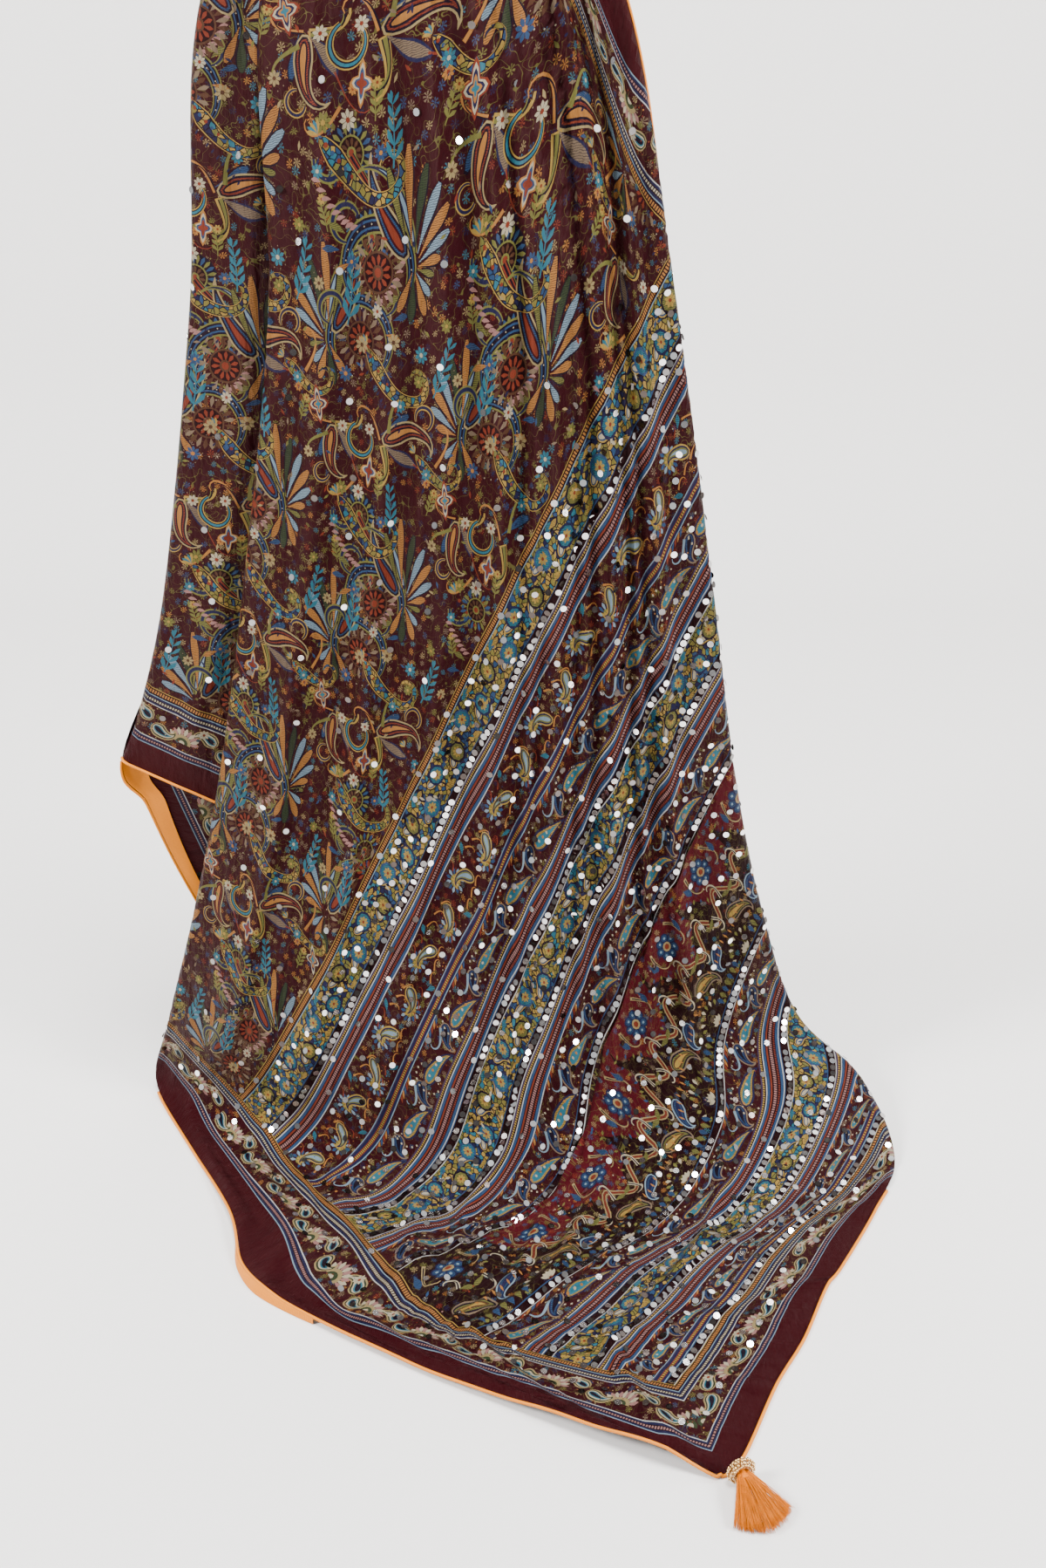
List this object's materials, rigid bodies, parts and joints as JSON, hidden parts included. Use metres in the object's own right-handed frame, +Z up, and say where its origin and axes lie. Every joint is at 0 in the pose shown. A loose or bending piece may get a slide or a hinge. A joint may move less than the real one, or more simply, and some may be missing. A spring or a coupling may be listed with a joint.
{
  "type": "saree",
  "caption": "Printed and sequinned saree held by its long upper edge, its decorated end falling in front and trailing over the floor to a tasselled corner.",
  "frame": {"origin": "where the cloth is held, between the layers at the middle of the held edge", "axes": "+Z up, the front faces -Y, +X to the right seen from the front; the floor is at z = -1.175"},
  "size_m": [0.7393, 0.6025, 1.1754],
  "materials": {
    "front_stretch": "printed satin-backed silk with sequins",
    "side_stretch": "printed silk",
    "back_stretch": "printed silk, reverse side",
    "front_piping": "satin piping",
    "upper_edge_piping": "satin piping",
    "back_piping": "satin piping",
    "side_piping": "satin piping",
    "back_facing": "satin facing",
    "rolled_facing": "satin facing",
    "tassel_head": "small gold beads",
    "tassel_strands": "silk floss"
  },
  "bodies": {
    "root": {"front_stretch": "front_stretch", "side_stretch": "side_stretch", "back_stretch": "back_stretch", "front_piping": "front_piping", "upper_edge_piping": "upper_edge_piping", "back_piping": "back_piping", "side_piping": "side_piping", "back_facing": "back_facing", "rolled_facing": "rolled_facing", "tassel_head": "tassel_head", "tassel_strands": "tassel_strands"}
  },
  "joints": []
}
